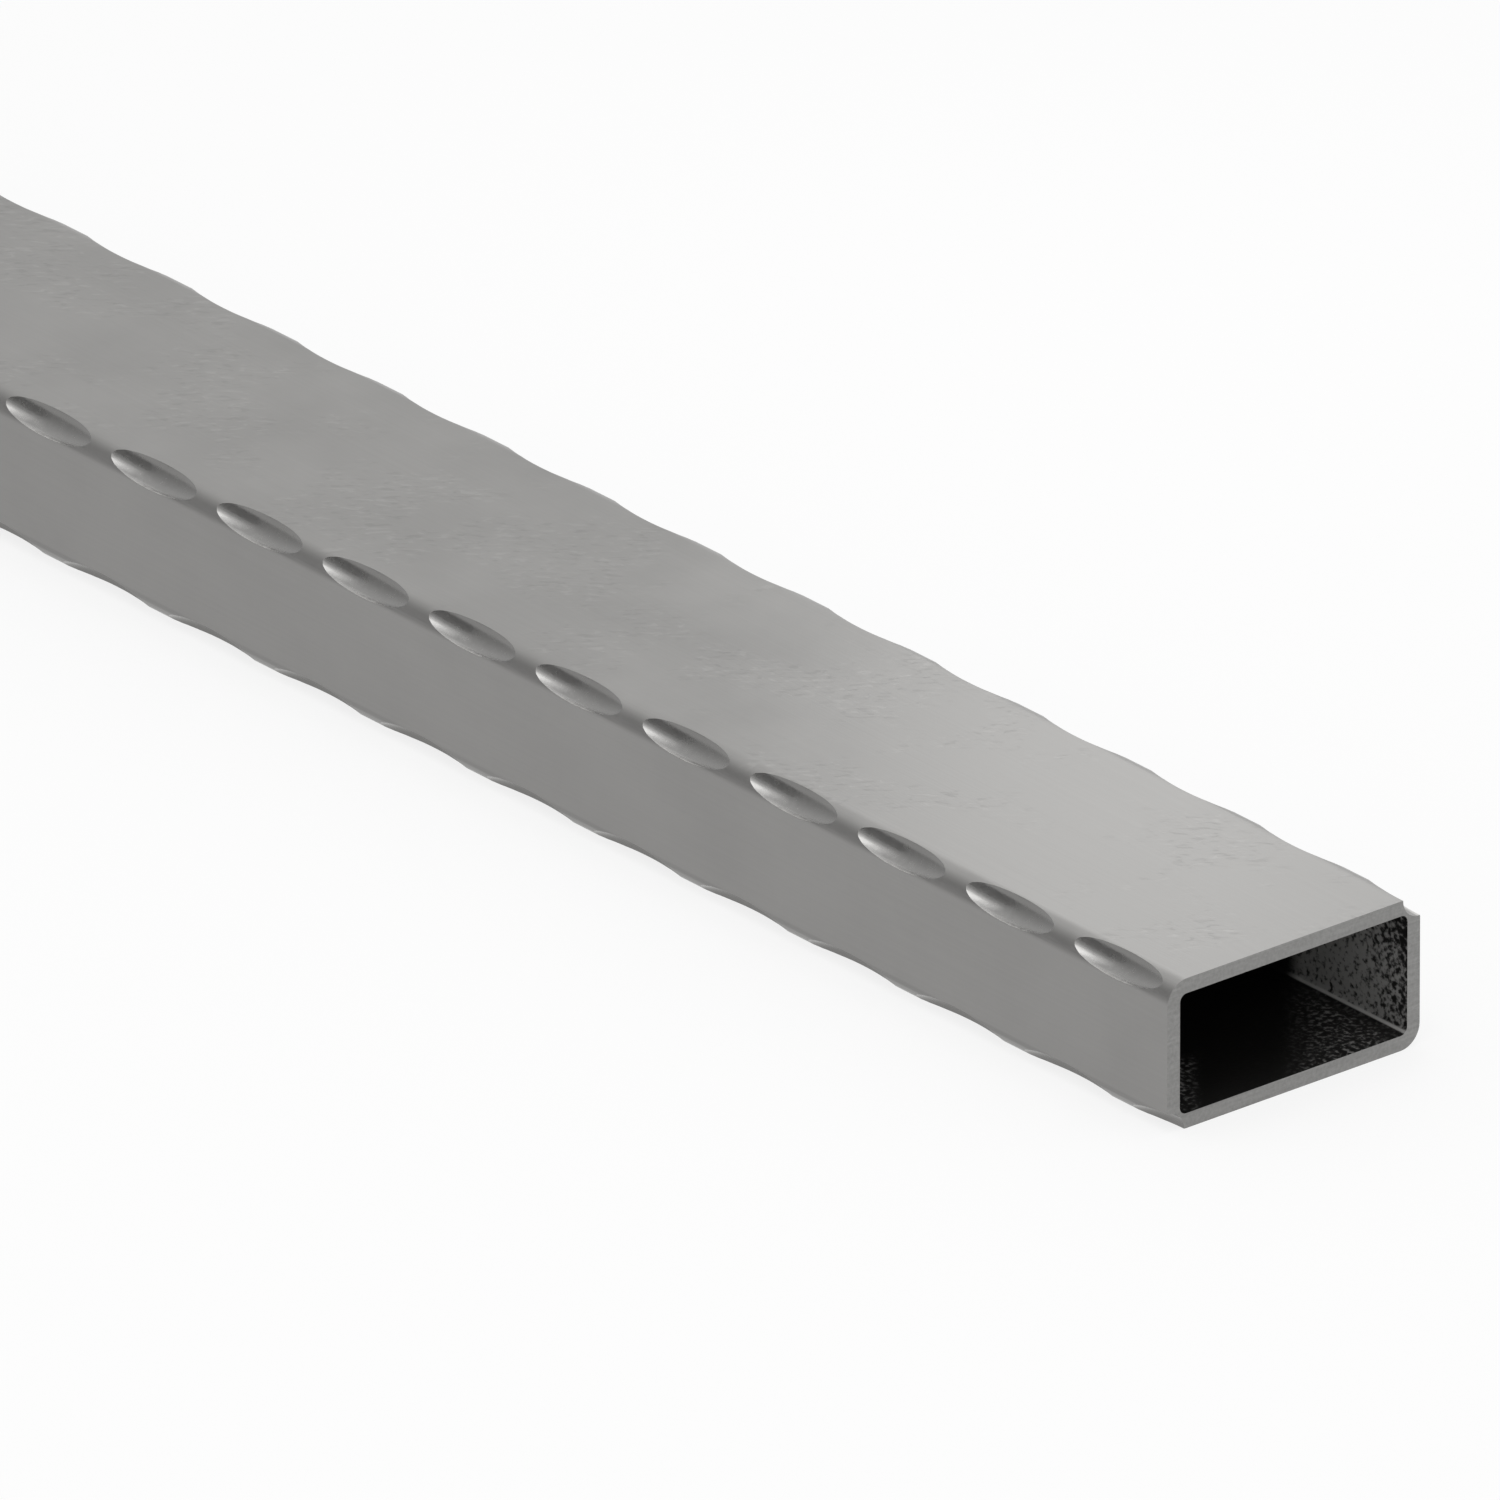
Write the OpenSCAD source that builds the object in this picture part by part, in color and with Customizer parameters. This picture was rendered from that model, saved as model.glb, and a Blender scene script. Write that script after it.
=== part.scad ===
// Rectangular steel tube with hammered edges.
// The length lies along X, the width along Y and the height along Z. The tube
// lies on its wide face, and the origin is the middle of that face.

/* [Section] */

// Outside width of the section, along Y (mm)
tube_width = 40; // [30:1:60]
// Outside height of the section, along Z (mm)
tube_height = 20; // [15:1:40]
// Wall thickness (mm)
wall_thickness = 2; // [1.5:0.1:3]
// Outside corner radius (mm)
outer_radius = 3; // [1.5:0.1:4]
// Inside corner radius (mm)
inner_radius = 1; // [0.3:0.1:2]

/* [Length] */

// Length between the two sawn ends, along X (mm)
tube_length = 1000; // [200:10:1000]

/* [Hammered edges] */

// Distance between the middles of neighbouring scoops on one edge (mm)
scoop_pitch = 20.35; // [18:0.05:25]
// Length of one scoop, tip to tip (mm)
scoop_length = 16.2; // [10:0.1:17]
// Depth of a scoop at its middle, square to the rounded corner (mm)
scoop_depth = 1.5; // [0.5:0.05:1.8]
// Radius of the hollow of a scoop across the edge (mm)
scoop_hollow = 2.6; // [2:0.1:6]
// Middle of the first scoop of the upper left edge, behind the +X end (mm)
upper_left_start = 10.2; // [-8:0.1:20]
// Middle of the first scoop of the upper right edge, behind the +X end (mm)
upper_right_start = 0.2; // [-8:0.1:20]
// Middle of the first scoop of the lower left edge, behind the +X end (mm)
lower_left_start = -0.8; // [-8:0.1:20]
// Middle of the first scoop of the lower right edge, behind the +X end (mm)
lower_right_start = 10.2; // [-8:0.1:20]

/* [Hidden] */

steel = [0.62, 0.62, 0.61];

// How far the bore and the scoop cutters run past the faces they cut
overrun = 1;
// Facets of one full turn of every round surface
round_facets = 96;
// Facets of one full turn of a scoop cutter, in each direction
cutter_facets = 64;
// How far a cutter turns past each tip of its scoop, in degrees
cutter_spare_turn = 4;

// Depth of the rounding itself, from the sharp corner along the diagonal
rounding_gap = outer_radius * (sqrt(2) - 1);
// Radius of the scoop floor along the edge, from its chord and its depth
floor_radius = pow(scoop_length, 2) / (8 * scoop_depth) + scoop_depth / 2;
// Radius of the circle that carries the round section of the cutter
carrier_radius = floor_radius - scoop_hollow;
// Distance from the sharp corner out to the middle of the carrier circle
carrier_offset = floor_radius - scoop_depth - rounding_gap;
// Half of the sweep of a cutter
cutter_half_sweep = asin(scoop_length / 2 / floor_radius) + cutter_spare_turn;

// A rectangle in the YZ plane with rounded corners, centred on Y, standing on
// Z = floor_height, drawn out along X
module rounded_bar(bar_length, bar_width, bar_height, corner_radius, floor_height) {
    rotate([90, 0, 90])
        translate([0, floor_height, -bar_length / 2])
            linear_extrude(height = bar_length)
                union() {
                    translate([-bar_width / 2 + corner_radius, 0])
                        square([bar_width - 2 * corner_radius, bar_height]);
                    translate([-bar_width / 2, corner_radius])
                        square([bar_width, bar_height - 2 * corner_radius]);
                    for (side = [-1, 1], level = [corner_radius, bar_height - corner_radius])
                        translate([side * (bar_width / 2 - corner_radius), level])
                            circle(r = corner_radius, $fn = round_facets);
                }
}

// The cutter of one scoop: a piece of a ring whose round section digs into the
// corner. It is drawn for a corner whose outward diagonal is +Y, at the origin.
module scoop_cutter() {
    translate([0, carrier_offset, 0])
        rotate([0, 0, -90 - cutter_half_sweep])
            rotate_extrude(angle = 2 * cutter_half_sweep, $fn = cutter_facets)
                translate([carrier_radius, 0])
                    circle(r = scoop_hollow, $fn = cutter_facets);
}

// A row of cutters along one edge. The edge is given by its side (-1 or 1 in
// Y), its level (0 below, 1 above) and the place of its first scoop.
module scoop_row(side, level, first_scoop) {
    row_count = floor((tube_length + scoop_length / 2 - first_scoop) / scoop_pitch) + 1;
    diagonal = level == 1 ? 45 : -45;
    for (index = [0 : row_count - 1])
        translate([
            tube_length / 2 - first_scoop - index * scoop_pitch,
            side * tube_width / 2,
            level * tube_height
        ])
            rotate([side * diagonal + (side < 0 ? 180 : 0), 0, 0])
                scoop_cutter();
}

module tube() {
    color(steel)
        difference() {
            rounded_bar(tube_length, tube_width, tube_height, outer_radius, 0);
            rounded_bar(
                tube_length + 2 * overrun,
                tube_width - 2 * wall_thickness,
                tube_height - 2 * wall_thickness,
                inner_radius,
                wall_thickness
            );
            scoop_row(-1, 1, upper_left_start);
            scoop_row(1, 1, upper_right_start);
            scoop_row(-1, 0, lower_left_start);
            scoop_row(1, 0, lower_right_start);
        }
}

tube();
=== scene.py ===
import math

import bmesh
import bpy
from mathutils import Matrix, Vector


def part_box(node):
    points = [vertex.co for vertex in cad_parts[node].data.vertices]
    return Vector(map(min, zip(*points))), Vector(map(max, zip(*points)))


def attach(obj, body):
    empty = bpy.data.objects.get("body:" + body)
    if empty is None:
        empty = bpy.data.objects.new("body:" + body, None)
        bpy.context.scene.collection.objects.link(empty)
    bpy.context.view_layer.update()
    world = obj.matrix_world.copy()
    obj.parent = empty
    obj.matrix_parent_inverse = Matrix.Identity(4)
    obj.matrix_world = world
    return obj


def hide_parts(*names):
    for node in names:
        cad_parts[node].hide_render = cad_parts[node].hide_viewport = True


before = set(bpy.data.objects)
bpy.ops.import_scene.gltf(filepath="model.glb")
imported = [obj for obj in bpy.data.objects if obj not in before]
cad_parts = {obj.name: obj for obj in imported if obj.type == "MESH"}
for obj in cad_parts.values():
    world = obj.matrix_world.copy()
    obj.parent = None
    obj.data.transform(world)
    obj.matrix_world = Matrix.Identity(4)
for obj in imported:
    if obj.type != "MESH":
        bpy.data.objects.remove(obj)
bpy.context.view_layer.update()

# Rectangular steel tube with hammered edges. Metres, X along the tube.

tubeLow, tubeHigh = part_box("tube")

section = {
    "wall": 0.002,
    "outerRadius": 0.003,
    "innerRadius": 0.001,
    "outerSteps": 8,  # facets round one outside corner
    "innerSteps": 6,
}

scoops = {
    "pitch": 0.02035,
    "length": 0.0162,
    "depth": 0.0015,  # square to the rounded corner
    "hollow": 0.0026,  # radius across the edge
    "hollowSteps": 48,  # facets of a full turn of the hollow
    "floorSteps": 26,  # facets along the scoop
    "spareTurn": math.radians(4),  # how far the cutter runs past the tips
    # middle of the first scoop behind the +X end, for each long corner
    "starts": {
        ("left", "upper"): 0.0102,
        ("right", "upper"): 0.0002,
        ("left", "lower"): -0.0008,
        ("right", "lower"): 0.0102,
    },
}


def deselectAll():
    if bpy.context.mode != "OBJECT":
        bpy.ops.object.mode_set(mode="OBJECT")
    bpy.ops.object.select_all(action="DESELECT")


def pickOnly(piece):
    deselectAll()
    piece.select_set(True)
    bpy.context.view_layer.objects.active = piece


def selectInEdit(kind, wanted):
    # Leaves only the wanted edges or faces of the edited mesh selected
    bpy.ops.mesh.select_mode(type=kind.upper())
    bpy.ops.mesh.select_all(action="DESELECT")
    mesh = bpy.context.edit_object.data
    editMesh = bmesh.from_edit_mesh(mesh)
    items = {"edge": editMesh.edges, "face": editMesh.faces}[kind]
    for item in items:
        if wanted(item):
            item.select_set(True)
    editMesh.select_flush_mode()
    bmesh.update_edit_mesh(mesh)


def makeBar(name, low, high, cornerRadius, steps):
    # A square-ended bar whose four long edges are rounded
    centre = (low + high) / 2
    deselectAll()
    bpy.ops.mesh.primitive_cube_add(size=1, location=centre, scale=high - low)
    bar = bpy.context.object
    bar.name = name
    bpy.ops.object.transform_apply(location=True, rotation=True, scale=True)
    bpy.ops.object.mode_set(mode="EDIT")
    selectInEdit("edge", lambda edge: abs(edge.verts[0].co.x - edge.verts[1].co.x) > cornerRadius)
    bpy.ops.mesh.bevel(
        offset=cornerRadius, offset_type="OFFSET", segments=steps, profile=0.5,
        affect="EDGES", clamp_overlap=False,
    )
    bpy.ops.object.mode_set(mode="OBJECT")
    return bar


def makeScoopCutter(material):
    # A disc swept through a short arc, for a corner at the origin that faces +Y
    cornerGap = section["outerRadius"] * (math.sqrt(2) - 1)
    floorRadius = scoops["length"] ** 2 / (8 * scoops["depth"]) + scoops["depth"] / 2
    carrierRadius = floorRadius - scoops["hollow"]
    carrierY = floorRadius - scoops["depth"] - cornerGap
    halfTurn = math.asin(scoops["length"] / 2 / floorRadius) + scoops["spareTurn"]
    deselectAll()
    startX = -carrierRadius * math.sin(halfTurn)
    startY = carrierY - carrierRadius * math.cos(halfTurn)
    bpy.ops.mesh.primitive_circle_add(
        vertices=scoops["hollowSteps"], radius=scoops["hollow"], fill_type="NGON",
        location=(startX, startY, 0), rotation=(0, math.radians(90), -halfTurn),
    )
    cutter = bpy.context.object
    cutter.name = "scoopCutter"
    bpy.ops.object.transform_apply(location=True, rotation=True, scale=True)
    bpy.ops.object.mode_set(mode="EDIT")
    bpy.ops.mesh.select_all(action="SELECT")
    bpy.ops.mesh.spin(
        steps=scoops["floorSteps"], angle=2 * halfTurn, center=(0, carrierY, 0), axis=(0, 0, -1),
    )
    bpy.ops.mesh.select_all(action="SELECT")
    bpy.ops.mesh.normals_make_consistent(inside=False)
    bpy.ops.object.mode_set(mode="OBJECT")
    cutter.data.materials.append(material)
    return cutter


def placeCutters(cutter, fromX, toX):
    # A copy of the cutter at every scoop that touches the stretch, along all four corners.
    # The turns about X face it out of each corner, in degrees.
    turns = {
        ("right", "upper"): 45, ("left", "upper"): 135,
        ("left", "lower"): 225, ("right", "lower"): 315,
    }
    copies = []
    for corner, start in scoops["starts"].items():
        side, level = corner
        y = tubeHigh.y if side == "right" else tubeLow.y
        z = tubeHigh.z if level == "upper" else tubeLow.z
        first = math.ceil((tubeHigh.x - start - toX) / scoops["pitch"] - 0.5)
        last = math.floor((tubeHigh.x - start - fromX) / scoops["pitch"] + 0.5)
        for index in range(first, last + 1):
            one = cutter.copy()
            one.data = cutter.data.copy()
            bpy.context.collection.objects.link(one)
            x = tubeHigh.x - start - index * scoops["pitch"]
            turn = Matrix.Rotation(math.radians(turns[corner]), 4, "X")
            one.data.transform(Matrix.Translation((x, y, z)) @ turn)
            copies.append(one)
    deselectAll()
    for one in copies:
        one.select_set(True)
    bpy.context.view_layer.objects.active = copies[0]
    bpy.ops.object.join()
    joined = bpy.context.object
    joined.name = "cutters"
    return joined


def applyModifier(piece, kind, **settings):
    pickOnly(piece)
    bpy.ops.object.modifier_add(type=kind)
    added = piece.modifiers[-1]
    for key, value in settings.items():
        setattr(added, key, value)
    bpy.ops.object.modifier_apply(modifier=added.name)


def subtract(piece, tool):
    applyModifier(
        piece, "BOOLEAN", operation="DIFFERENCE", solver="EXACT", material_mode="TRANSFER", object=tool,
    )
    bpy.data.objects.remove(tool)


trimming = {
    "snap": 2e-7,  # how near the cut a point counts as on it
    "weld": 2e-6,  # how near two points are one
    "smoothAngle": math.radians(18),
    "faceWeight": 100,  # big faces stay flat up to their corners
}


def trim(piece, x, keepLeft):
    # Cuts the piece square across at x and leaves the cut open
    pickOnly(piece)
    bpy.ops.object.mode_set(mode="EDIT")
    bpy.ops.mesh.select_all(action="SELECT")
    bpy.ops.mesh.bisect(
        plane_co=(x, 0, 0), plane_no=(1, 0, 0), use_fill=False,
        clear_outer=keepLeft, clear_inner=not keepLeft, threshold=trimming["snap"],
    )
    bpy.ops.object.mode_set(mode="OBJECT")


def closeEnd(piece, x, material):
    # Fills the wall between the outside and the bore at one sawn end
    pickOnly(piece)
    bpy.ops.object.mode_set(mode="EDIT")

    def atEnd(item):
        return all(abs(corner.co.x - x) < trimming["weld"] for corner in item.verts)

    selectInEdit("edge", lambda edge: edge.is_boundary and atEnd(edge))
    bpy.ops.mesh.fill(use_beauty=True)
    selectInEdit("face", atEnd)
    piece.active_material_index = piece.data.materials.find(material.name)
    bpy.ops.object.material_slot_assign()
    bpy.ops.object.mode_set(mode="OBJECT")


def cutPitch(steel, scoopSteel, insideSteel):
    # One pitch of the tube, cut from the middle of three so that its rims are whole
    pitch = scoops["pitch"]
    barLow = Vector((tubeHigh.x - 2 * pitch, tubeLow.y, tubeLow.z))
    barHigh = Vector((tubeHigh.x + pitch, tubeHigh.y, tubeHigh.z))
    wall = Vector((-pitch / 2, section["wall"], section["wall"]))
    tube = makeBar("tubeSteel", barLow, barHigh, section["outerRadius"], section["outerSteps"])
    tube.data.materials.append(steel)
    bore = makeBar("bore", barLow + wall, barHigh - wall, section["innerRadius"], section["innerSteps"])
    bore.data.materials.append(insideSteel)
    subtract(tube, bore)
    cutter = makeScoopCutter(scoopSteel)
    cutters = placeCutters(cutter, barLow.x, barHigh.x)
    bpy.data.objects.remove(cutter)
    subtract(tube, cutters)
    trim(tube, tubeHigh.x, keepLeft=True)
    trim(tube, tubeHigh.x - pitch, keepLeft=False)
    print("one pitch of the tube cut,", len(tube.data.polygons), "faces")
    return tube


def makeTube(steel, scoopSteel, sawnSteel, insideSteel):
    tube = cutPitch(steel, scoopSteel, insideSteel)
    pitch = scoops["pitch"]
    applyModifier(
        tube, "ARRAY", count=math.ceil((tubeHigh.x - tubeLow.x) / pitch),
        use_relative_offset=False, use_constant_offset=True, constant_offset_displace=(-pitch, 0, 0),
        use_merge_vertices=True, merge_threshold=trimming["weld"],
    )
    trim(tube, tubeLow.x, keepLeft=False)
    tube.data.materials.append(sawnSteel)
    closeEnd(tube, tubeHigh.x, sawnSteel)
    closeEnd(tube, tubeLow.x, sawnSteel)

    pickOnly(tube)
    bpy.ops.object.mode_set(mode="EDIT")
    bpy.ops.mesh.select_all(action="SELECT")
    bpy.ops.mesh.normals_make_consistent(inside=False)
    bpy.ops.object.mode_set(mode="OBJECT")
    bpy.ops.object.shade_smooth_by_angle(angle=trimming["smoothAngle"])
    applyModifier(tube, "WEIGHTED_NORMAL", keep_sharp=True, weight=trimming["faceWeight"])
    return tube


def reportTube(tube):
    check = bmesh.new()
    check.from_mesh(tube.data)
    openEdges = sum(1 for edge in check.edges if not edge.is_manifold)
    volume = check.calc_volume()
    check.free()
    triangles = sum(len(face.vertices) - 2 for face in tube.data.polygons)
    print("tube made,", triangles, "triangles,", openEdges, "open edges,", round(volume * 1e9), "mm3")


# How the steel looks. Sizes are in metres on the tube itself.
finish = {
    "faceColour": (0.474, 0.468, 0.457),  # the wide faces, lighter than the narrow ones: painted light
    "sideColour": (0.275, 0.271, 0.265),  # the narrow faces, darker than the wide ones: painted shade
    "faceShift": 0.0009,  # how far that change lies towards the wide face
    "faceTurn": 0.0016,  # half the way over which one tone becomes the other
    "cornerDepth": 0.2,  # painted shade: how much darker the corners are, and where that is deepest
    "cornerPlace": 0.0021,
    "cornerReach": 0.0008,
    "roughness": 0.36,
    "roughnessSpread": 0.03,
    "mottleSize": 0.016,
    "mottleDepth": 0.05,
    "lineSize": (0.045, 0.0004, 0.0004),  # rolling lines, long and thin
    "lineDepth": 0.015,
    "wispSize": (0.0022, 0.0008, 0.001),  # short light and dark strokes that lie in groups
    "wispTurn": math.radians(48),
    "wispGroup": 0.012,
    "groupFrom": 0.47,  # a group fades in between these two heights of the noise
    "groupTo": 0.63,
    "wispFrom": -0.001,  # strokes fade in between these two heights, seen from a wide face
    "wispTo": -0.0002,
    "strokeLow": 0.34,  # the darkest and the lightest stroke of the noise
    "strokeHigh": 0.66,
    "strokePower": 3,  # the higher, the fewer strokes show
    "wispDepth": 0.09,
    "reliefHeight": 0.000012,
}

scoopFinish = {
    "faceColour": (0.215, 0.212, 0.207),  # under the rim of the wide face, darker: painted shade
    "sideColour": (0.465, 0.460, 0.451),  # at the rim of the narrow face, lighter: painted light
    "faceShift": -0.0005,
    "faceTurn": 0.0024,
    "cornerDepth": -0.85,  # painted highlight: brighter where it runs out into the narrow face
    "cornerPlace": 0.0028,
    "cornerReach": 0.0012,
    "roughness": 0.24,
    "roughnessSpread": 0.05,
    "rimRoughness": 0.3,  # how much rougher it gets at the rim of the narrow face
    "rimReach": 0.0007,
    "grainSize": 0.0009,
    "grainDepth": 0.04,
    "reliefHeight": 0.000009,
}

sawFinish = {
    "colour": (0.275, 0.273, 0.267),
    "roughness": 0.46,
    "lineGap": 0.00035,
    "lineStretch": 30,  # how much longer than wide the saw lines are
    "lineDepth": 0.07,
    "grainSize": 0.0005,
    "grainDepth": 0.10,
    "reliefHeight": 0.00003,
}

insideFinish = {
    "scaleColour": (0.006, 0.0057, 0.0052),  # dark mill scale, also painted shade deep in the bore and on the shaded side of the floor
    "bareColour": (0.315, 0.311, 0.303),  # steel between the scale, also painted light on the lit side of the floor and along the lower corners
    "speckSize": 0.00065,
    "speckFrom": 0.45,  # the scale breaks up between these two heights of the noise
    "speckTo": 0.70,
    "wallFrom": 0.6,  # the rounding becomes the side wall here, in corner radii
    "wallTo": 0.8,
    "wallLift": 0.17,  # the side walls are lighter, with fewer dark specks
    "mouthDrop": 0.16,  # the mouth and the upper part of the walls carry more
    "mouthDepth": 0.008,
    "mouthFloor": 0.2,  # the share of the mouth's scale that the floor has
    "darkDepth": 0.0225,  # painted shade: past here, behind the mouth, the bore goes dark
    "darkFade": 0.003,
    "upperDrop": 0.07,
    "lightSlope": 0.84,  # painted light: the floor gets lighter towards one side of the mouth, and darker towards the other as painted shade
    "lightFrom": -0.003,
    "lightTo": 0.0075,
    "nearFrom": -0.0175,  # and a little at the other side, close to the mouth
    "nearTo": -0.0140,
    "nearDepth": 0.013,
    "cornerScale": 0.0025,  # the floor in a strip beside the corner is darker
    "cornerShare": 0.3,
    "cornerHighlight": 0.6,  # painted highlight: the lower inside corners are lighter along a thin line
    "cornerLine": 0.00013,
    "cornerFade": 0.0005,
    "roughness": 0.55,
    "metal": 0.3,
    "reliefHeight": 0.00005,
}


# Most of a noise texture lies between these two heights
noiseRange = {"low": 0.3, "high": 0.7}


def startMaterial(name, metal=1.0):
    material = bpy.data.materials.new(name)
    material.use_nodes = True
    tree = material.node_tree
    shader = tree.nodes["Principled BSDF"]
    shader.inputs["Metallic"].default_value = metal
    return material, tree, shader


def feed(tree, socket, value):
    # Links a node's output to the socket, or sets a plain value on it
    if isinstance(value, bpy.types.NodeSocket):
        tree.links.new(value, socket)
    else:
        socket.default_value = value


def addNode(tree, kind, settings=None, **values):
    made = tree.nodes.new(kind)
    for key, value in (settings or {}).items():
        setattr(made, key, value)
    for key, value in values.items():
        feed(tree, made.inputs[key.replace("_", " ")], value)
    return made


def objectPlace(tree):
    return addNode(tree, "ShaderNodeTexCoord").outputs["Object"]


def noise(tree, place, size, detail=3.0, turn=0.0, seed=0.0, distortion=0.0):
    # Noise whose features are about size metres, one number or one for each axis
    sizes = size if isinstance(size, tuple) else (size, size, size)
    turned = addNode(tree, "ShaderNodeMapping", {"vector_type": "TEXTURE"}, Vector=place,
                     Rotation=(0, 0, turn), Scale=sizes, Location=(seed, seed, seed))
    made = addNode(tree, "ShaderNodeTexNoise", Vector=turned.outputs["Vector"], Scale=1.0,
                   Detail=detail, Roughness=0.55, Distortion=distortion)
    return made.outputs["Fac"]


def remap(tree, value, low, high, outLow, outHigh, smooth=False):
    kind = "SMOOTHSTEP" if smooth else "LINEAR"
    made = addNode(tree, "ShaderNodeMapRange", {"interpolation_type": kind, "clamp": True}, Value=value,
                   From_Min=low, From_Max=high, To_Min=outLow, To_Max=outHigh)
    return made.outputs["Result"]


def aroundOne(tree, value, depth, middle=1.0):
    # Noise turned into numbers up to depth below and above one, or above another middle
    return remap(tree, value, noiseRange["low"], noiseRange["high"], middle - depth, middle + depth)


def combine(tree, kind, *values):
    made = addNode(tree, "ShaderNodeMath", {"operation": kind})
    for socket, value in zip(made.inputs, values):
        feed(tree, socket, value)
    return made.outputs["Value"]


def mixColours(tree, factor, first, second):
    made = addNode(tree, "ShaderNodeMix", {"data_type": "RGBA"})
    feed(tree, made.inputs[0], factor)
    colours = [socket for socket in made.inputs if socket.type == "RGBA"]
    for socket, value in zip(colours, (first, second)):
        feed(tree, socket, (*value, 1))
    return [socket for socket in made.outputs if socket.type == "RGBA"][0]


def shade(tree, colour, amount):
    # The colour made lighter or darker by a number
    made = addNode(tree, "ShaderNodeVectorMath", {"operation": "SCALE"}, Scale=amount)
    feed(tree, made.inputs[0], colour)
    return made.outputs["Vector"]


def relief(tree, height, depth):
    made = addNode(tree, "ShaderNodeBump", Height=height, Strength=1.0, Distance=depth)
    return made.outputs["Normal"]


def pastWideFace(tree, place):
    # Height as seen from the nearer wide face: 0 on it, less between the two
    height = addNode(tree, "ShaderNodeSeparateXYZ", Vector=place).outputs["Z"]
    middle = (tubeLow.z + tubeHigh.z) / 2
    level = combine(tree, "ABSOLUTE", combine(tree, "SUBTRACT", height, middle))
    return combine(tree, "SUBTRACT", level, tubeHigh.z - middle)


def roundCorner(tree, place):
    # How far a place is round a corner: 0 at the middle of it, more towards the narrow face
    sideways = addNode(tree, "ShaderNodeSeparateXYZ", Vector=place).outputs["Y"]
    across = combine(tree, "SUBTRACT", combine(tree, "ABSOLUTE", sideways), tubeHigh.y)
    return combine(tree, "SUBTRACT", across, pastWideFace(tree, place))


def fromRim(tree, place, setting):
    # Distance from the line of a corner where its painted tone is deepest
    fromLine = combine(tree, "SUBTRACT", roundCorner(tree, place), setting["cornerPlace"])
    return combine(tree, "ABSOLUTE", fromLine)


def paintLightRoundCorners(tree, place, setting):
    # Painted light and painted shade: one tone on the wide faces and another on the narrow ones, blended
    # round the corners
    first = -setting["faceTurn"] - setting["faceShift"]
    last = setting["faceTurn"] - setting["faceShift"]
    side = remap(tree, roundCorner(tree, place), first, last, 0, 1, smooth=True)
    colour = mixColours(tree, side, setting["faceColour"], setting["sideColour"])
    # A painted band along each corner: painted shade on the bare steel, painted highlight in the scoops
    away = fromRim(tree, place, setting)
    tone = remap(tree, away, 0, setting["cornerReach"], 1 - setting["cornerDepth"], 1, smooth=True)
    return shade(tree, colour, tone)


def bareSteel():
    material, tree, shader = startMaterial("bareSteel")
    place = objectPlace(tree)
    # Painted light on the wide faces, painted shade on the narrow faces and along the corners
    colour = paintLightRoundCorners(tree, place, finish)
    mottle = noise(tree, place, finish["mottleSize"], detail=4)
    lines = noise(tree, place, finish["lineSize"], detail=2, seed=0.3)
    wisps = noise(tree, place, finish["wispSize"], detail=1.5, turn=finish["wispTurn"], distortion=0.6)
    groups = noise(tree, place, finish["wispGroup"], detail=2, seed=0.9)
    groups = remap(tree, groups, finish["groupFrom"], finish["groupTo"], 0, 1, smooth=True)
    wide = remap(tree, pastWideFace(tree, place), finish["wispFrom"], finish["wispTo"], 0, 1)
    groups = combine(tree, "MULTIPLY", groups, wide)
    strokes = remap(tree, wisps, finish["strokeLow"], finish["strokeHigh"], -1, 1)
    strokes = combine(tree, "POWER", strokes, finish["strokePower"])
    strokes = combine(tree, "MULTIPLY", strokes, groups)
    amount = aroundOne(tree, mottle, finish["mottleDepth"])
    amount = combine(tree, "MULTIPLY", amount, aroundOne(tree, lines, finish["lineDepth"]))
    depth = finish["wispDepth"]
    amount = combine(tree, "MULTIPLY", amount, remap(tree, strokes, -1, 1, 1 + depth, 1 - depth))
    feed(tree, shader.inputs["Base Color"], shade(tree, colour, amount))
    rough = aroundOne(tree, mottle, finish["roughnessSpread"], middle=finish["roughness"])
    feed(tree, shader.inputs["Roughness"], rough)
    height = combine(tree, "ADD", lines, strokes)
    feed(tree, shader.inputs["Normal"], relief(tree, height, finish["reliefHeight"]))
    return material


def hammeredSteel():
    material, tree, shader = startMaterial("hammeredSteel")
    place = objectPlace(tree)
    grain = noise(tree, place, scoopFinish["grainSize"], detail=4)
    amount = aroundOne(tree, grain, scoopFinish["grainDepth"])
    # Painted shade under the wide face's rim and painted light towards the narrow face's rim of each scoop
    colour = shade(tree, paintLightRoundCorners(tree, place, scoopFinish), amount)
    feed(tree, shader.inputs["Base Color"], colour)
    rough = aroundOne(tree, grain, scoopFinish["roughnessSpread"], middle=scoopFinish["roughness"])
    away = fromRim(tree, place, scoopFinish)
    rim = remap(tree, away, 0, scoopFinish["rimReach"], scoopFinish["rimRoughness"], 0, smooth=True)
    feed(tree, shader.inputs["Roughness"], combine(tree, "ADD", rough, rim))
    feed(tree, shader.inputs["Normal"], relief(tree, grain, scoopFinish["reliefHeight"]))
    return material


def sawnSteel():
    material, tree, shader = startMaterial("sawnSteel")
    place = objectPlace(tree)
    gap = sawFinish["lineGap"]
    lines = noise(tree, place, (gap, gap * sawFinish["lineStretch"], gap))
    grain = noise(tree, place, sawFinish["grainSize"], seed=0.7)
    amount = aroundOne(tree, lines, sawFinish["lineDepth"])
    amount = combine(tree, "MULTIPLY", amount, aroundOne(tree, grain, sawFinish["grainDepth"]))
    feed(tree, shader.inputs["Base Color"], shade(tree, sawFinish["colour"], amount))
    shader.inputs["Roughness"].default_value = sawFinish["roughness"]
    feed(tree, shader.inputs["Normal"], relief(tree, lines, sawFinish["reliefHeight"]))
    return material


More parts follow.
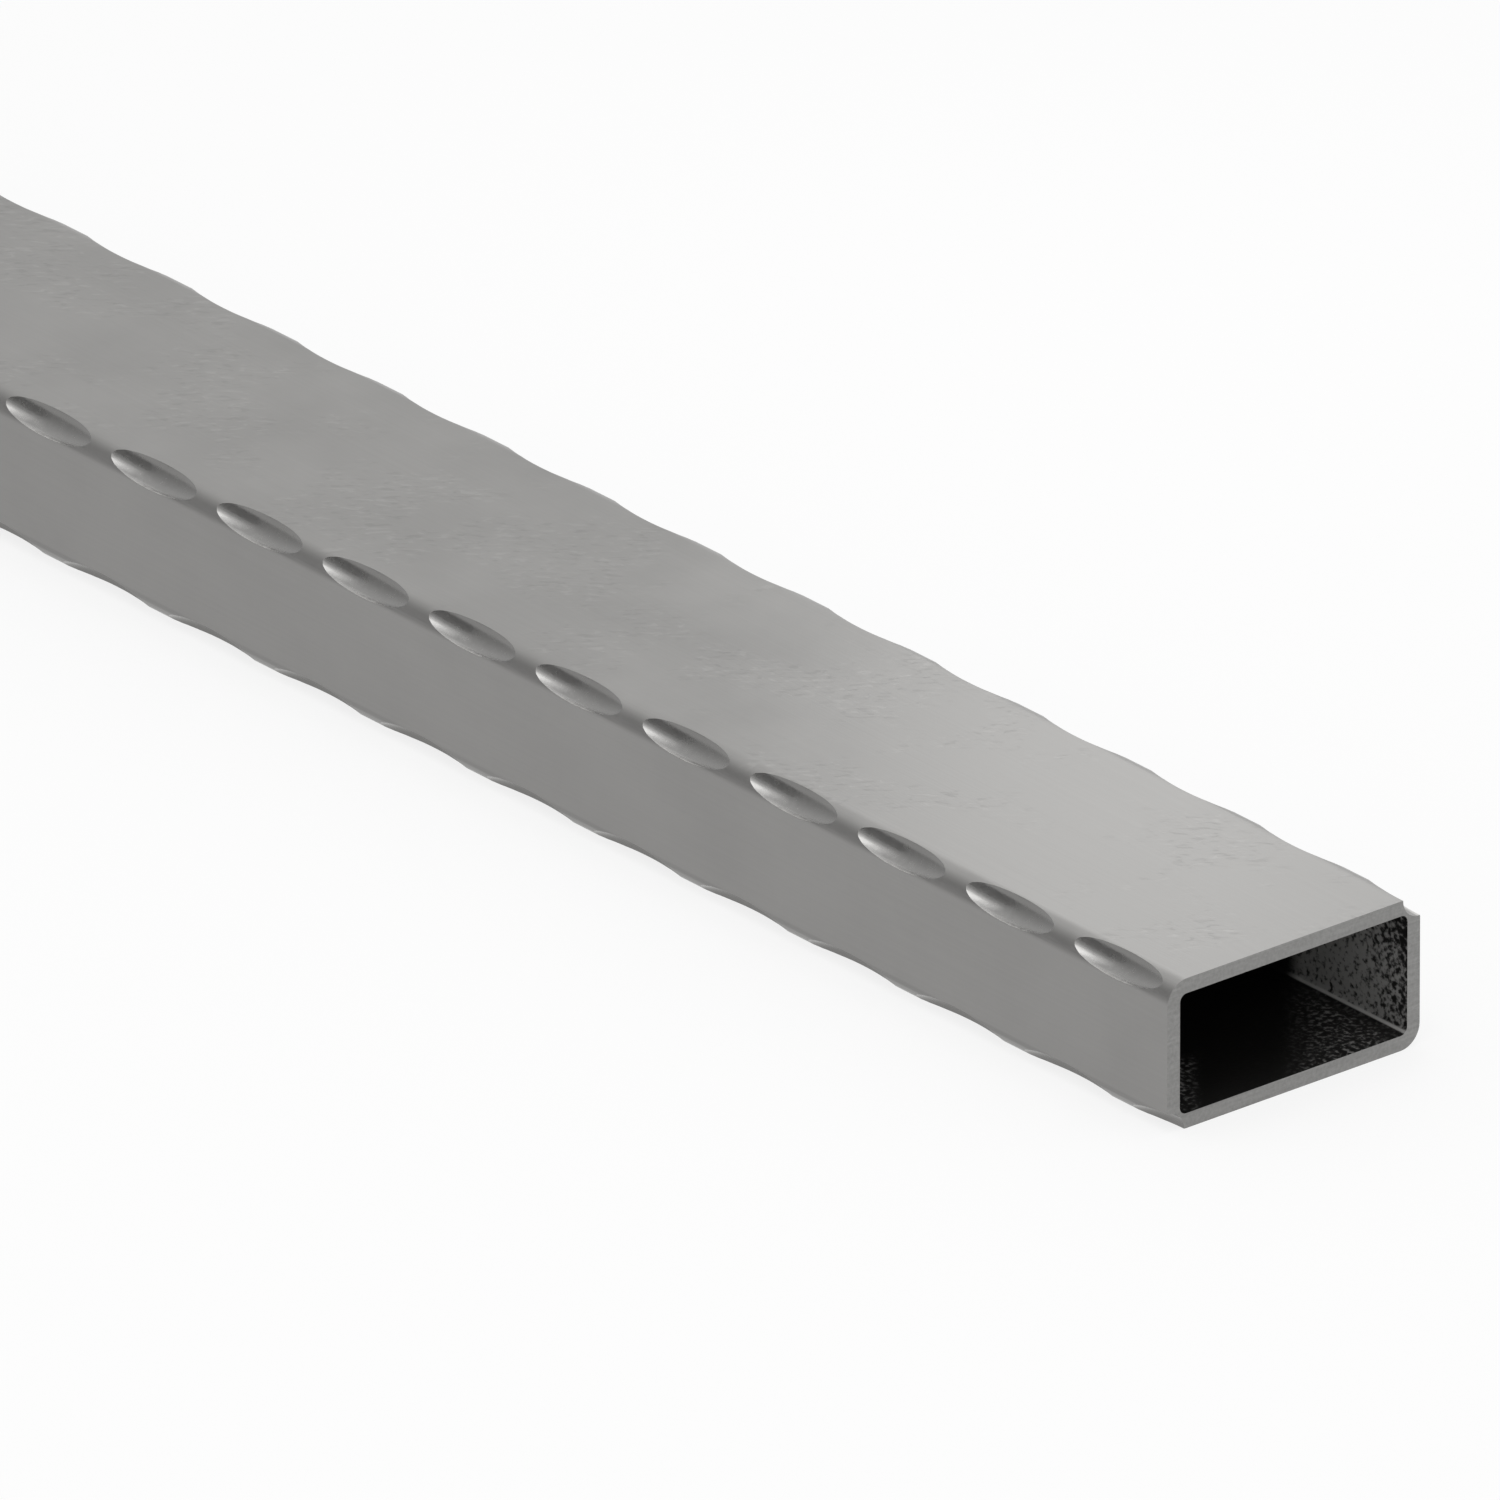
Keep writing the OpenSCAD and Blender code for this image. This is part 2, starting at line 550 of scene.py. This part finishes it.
def insideSteel():
    material, tree, shader = startMaterial("insideSteel", insideFinish["metal"])
    place = objectPlace(tree)
    axes = addNode(tree, "ShaderNodeSeparateXYZ", Vector=place).outputs
    sideways = combine(tree, "ABSOLUTE", axes["Y"])
    lengthways = combine(tree, "ABSOLUTE", axes["X"])
    radius = section["innerRadius"]
    roundY = tubeHigh.y - section["wall"] - radius
    roundZ = tubeLow.z + section["wall"] + radius

    # Where the wall, the mouth, the upper part and the painted highlight along the lower corners are
    wallY = roundY + insideFinish["wallFrom"] * radius
    wall = remap(tree, sideways, wallY, roundY + insideFinish["wallTo"] * radius, 0, 1)
    mouth = remap(tree, lengthways, tubeHigh.x - insideFinish["mouthDepth"], tubeHigh.x, 0, 1)
    mouth = combine(tree, "MULTIPLY", mouth, remap(tree, wall, 0, 1, insideFinish["mouthFloor"], 1))
    middle = (tubeLow.z + tubeHigh.z) / 2
    upper = remap(tree, axes["Z"], middle, tubeHigh.z, 0, insideFinish["upperDrop"])
    outward = combine(tree, "SUBTRACT", sideways, roundY)
    upward = combine(tree, "SUBTRACT", axes["Z"], roundZ)
    fromLine = combine(tree, "ABSOLUTE", combine(tree, "ADD", outward, upward))
    line = remap(tree, fromLine, insideFinish["cornerLine"], insideFinish["cornerFade"], 1, 0, smooth=True)

    # Scale that breaks up into specks
    specks = noise(tree, place, insideFinish["speckSize"])
    height = combine(tree, "ADD", specks, combine(tree, "MULTIPLY", wall, insideFinish["wallLift"]))
    drop = combine(tree, "MULTIPLY", mouth, insideFinish["mouthDrop"])
    height = combine(tree, "SUBTRACT", height, drop)
    height = combine(tree, "SUBTRACT", height, upper)
    bareAndLit = remap(tree, height, insideFinish["speckFrom"], insideFinish["speckTo"], 0, 1, smooth=True)

    # Where the floor is lighter: painted light towards one side of the mouth
    depth = combine(tree, "SUBTRACT", lengthways, tubeHigh.x)
    slant = combine(tree, "MULTIPLY", depth, insideFinish["lightSlope"])
    across = combine(tree, "ADD", axes["Y"], slant)
    lighterFloor = remap(tree, across, insideFinish["lightFrom"], insideFinish["lightTo"], 0, 1, smooth=True)
    near = remap(tree, across, insideFinish["nearFrom"], insideFinish["nearTo"], 1, 0, smooth=True)
    nearX = tubeHigh.x - insideFinish["nearDepth"]
    shallow = remap(tree, lengthways, nearX, nearX + insideFinish["darkFade"], 0, 1)
    lighterFloor = combine(tree, "MAXIMUM", lighterFloor, combine(tree, "MULTIPLY", near, shallow))
    stripY = roundY - insideFinish["cornerScale"]
    strip = remap(tree, sideways, stripY, roundY, 1, insideFinish["cornerShare"], smooth=True)
    lighterFloor = combine(tree, "MULTIPLY", lighterFloor, strip)
    # Bare steel from the specks together with the painted light, painted shade and painted highlight
    bareAndLit = combine(tree, "MULTIPLY", bareAndLit, combine(tree, "MAXIMUM", lighterFloor, wall))
    bareAndLit = combine(tree, "MAXIMUM", bareAndLit, line)
    # Painted shade: the bore goes dark past darkDepth behind the mouth
    darkX = tubeHigh.x - insideFinish["darkDepth"]
    lit = remap(tree, lengthways, darkX, darkX + insideFinish["darkFade"], 0, 1, smooth=True)
    bareAndLit = combine(tree, "MULTIPLY", bareAndLit, lit)

    colour = mixColours(tree, bareAndLit, insideFinish["scaleColour"], insideFinish["bareColour"])
    # Painted highlight along the lower inside corners
    lift = combine(tree, "ADD", combine(tree, "MULTIPLY", line, insideFinish["cornerHighlight"]), 1)
    feed(tree, shader.inputs["Base Color"], shade(tree, colour, lift))
    shader.inputs["Roughness"].default_value = insideFinish["roughness"]
    feed(tree, shader.inputs["Normal"], relief(tree, specks, insideFinish["reliefHeight"]))
    return material


tube = makeTube(bareSteel(), hammeredSteel(), sawnSteel(), insideSteel())
reportTube(tube)
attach(tube, "root")
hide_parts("tube")

# The camera stands where the photograph was taken, with a long lens. The photograph is
# 1500 pixels square, and the upper left corner of the open end is seen at endCorner.
view = {
    "azimuth": math.radians(50.1),
    "elevation": math.radians(25),
    "lens": 1600,
    "film": 36,
    "pixels": 1500,
    "pixelsPerMetre": 8300,
    "endCorner": (1167.5, 985.0),
    "reach": 10,  # how far the camera sees, in its own distances
}


def direction(turn, height):
    # Towards a place, by a turn round the tube from the front and a height, in radians
    return Vector((math.sin(turn) * math.cos(height), -math.cos(turn) * math.cos(height), math.sin(height)))


def placeCamera():
    turn = view["azimuth"]
    back = direction(turn, view["elevation"])
    right = Vector((math.cos(turn), math.sin(turn), 0))
    up = back.cross(right)
    corner = Vector((tubeHigh.x, tubeLow.y, tubeHigh.z))
    scale = 1 / view["pixelsPerMetre"]
    half = view["pixels"] / 2
    cornerX, cornerY = view["endCorner"]
    target = corner + right * (half - cornerX) * scale - up * (half - cornerY) * scale
    distance = view["pixels"] * scale * view["lens"] / view["film"]
    deselectAll()
    bpy.ops.object.camera_add(location=target + back * distance)
    camera = bpy.context.object
    camera.rotation_euler = back.to_track_quat("Z", "Y").to_euler()
    camera.data.lens = view["lens"]
    camera.data.sensor_width = view["film"]
    camera.data.clip_end = view["reach"] * distance
    bpy.context.scene.camera = camera


placeCamera()

# Lamps and cards stand round the middle of the view. A direction is a turn round the tube,
# 0 at the front (-Y) and 90 at the +X end, and a height above the floor, both in degrees.
studio = {
    "floorSize": 20,
    "floorShade": 0.96,
    "floorGlow": 0.8,  # how much of the floor is plain white to the camera and to gloss
    "skyStrength": 0.62,
    "middle": (0.482, 0, 0.02),
}

lamps = {
    "overheadLamp": {"turn": -10, "height": 87, "distance": 1.6, "size": (1.1, 1.1), "power": 4.4},
    "wideLamp": {"turn": -10, "height": 84, "distance": 1.7, "size": (1.9, 1.9), "power": 5.1},
    "rearLamp": {"turn": 230, "height": 25, "distance": 0.28, "size": (0.08, 0.08), "power": 0.015},
    "frontLamp": {"turn": 50, "height": 26, "distance": 1.3, "size": (1.3, 0.9), "power": 2.0},
}

cards = {
    "darkCard": {"turn": -6, "height": 16, "distance": 1.2, "size": (1.7, 1.1), "shade": 0.47},
}


def standRound(setting):
    # Place and turn of a thing that faces the middle of the view
    towards = direction(math.radians(setting["turn"]), math.radians(setting["height"]))
    place = Vector(studio["middle"]) + towards * setting["distance"]
    return place, towards.to_track_quat("Z", "Y").to_euler()


def makeLamp(name, setting):
    place, turned = standRound(setting)
    deselectAll()
    bpy.ops.object.light_add(type="AREA", location=place, rotation=turned)
    lamp = bpy.context.object
    lamp.name = name
    lamp.data.shape = "RECTANGLE"
    lamp.data.size, lamp.data.size_y = setting["size"]
    lamp.data.energy = setting["power"]
    lamp.visible_camera = False


def mattGrey(name, grey):
    # A plain material for the floor and the cards
    material, tree, shader = startMaterial(name, metal=0.0)
    shader.inputs["Base Color"].default_value = (grey, grey, grey, 1)
    shader.inputs["Roughness"].default_value = 1
    return material


def makeCard(name, setting):
    # A dark card that the steel mirrors. It isn't seen itself and throws no shade.
    place, turned = standRound(setting)
    deselectAll()
    bpy.ops.mesh.primitive_plane_add(size=1, location=place, rotation=turned)
    card = bpy.context.object
    card.name = name
    card.scale = (*setting["size"], 1)
    bpy.ops.object.transform_apply(location=True, rotation=True, scale=True)
    card.data.materials.append(mattGrey(name, setting["shade"]))
    card.visible_camera = False
    card.visible_diffuse = False
    card.visible_shadow = False


def makeFloor():
    deselectAll()
    bpy.ops.mesh.primitive_plane_add(size=studio["floorSize"], location=(0, 0, tubeLow.z))
    floor = bpy.context.object
    floor.name = "floor"
    material = mattGrey("paleFloor", studio["floorShade"])
    tree = material.node_tree
    shader = tree.nodes["Principled BSDF"]
    shader.inputs["Specular IOR Level"].default_value = 0
    glow = addNode(tree, "ShaderNodeEmission", Color=(1, 1, 1, 1), Strength=1.0)
    rays = addNode(tree, "ShaderNodeLightPath")
    seen = combine(tree, "MAXIMUM", rays.outputs["Is Camera Ray"], rays.outputs["Is Glossy Ray"])
    seen = combine(tree, "MAXIMUM", seen, rays.outputs["Is Transmission Ray"])
    share = combine(tree, "MULTIPLY", seen, studio["floorGlow"])
    mixed = addNode(tree, "ShaderNodeMixShader", Fac=share)
    tree.links.new(shader.outputs["BSDF"], mixed.inputs[1])
    tree.links.new(glow.outputs["Emission"], mixed.inputs[2])
    tree.links.new(mixed.outputs["Shader"], tree.nodes["Material Output"].inputs["Surface"])
    floor.data.materials.append(material)


def makeSky():
    world = bpy.data.worlds.new("studioWorld")
    bpy.context.scene.world = world
    world.use_nodes = True
    background = world.node_tree.nodes["Background"]
    background.inputs["Color"].default_value = (1, 1, 1, 1)
    background.inputs["Strength"].default_value = studio["skyStrength"]


makeFloor()
makeSky()
for name, setting in lamps.items():
    makeLamp(name, setting)
for name, setting in cards.items():
    makeCard(name, setting)
print("studio made")
bpy.context.scene.view_settings.view_transform = "Standard"
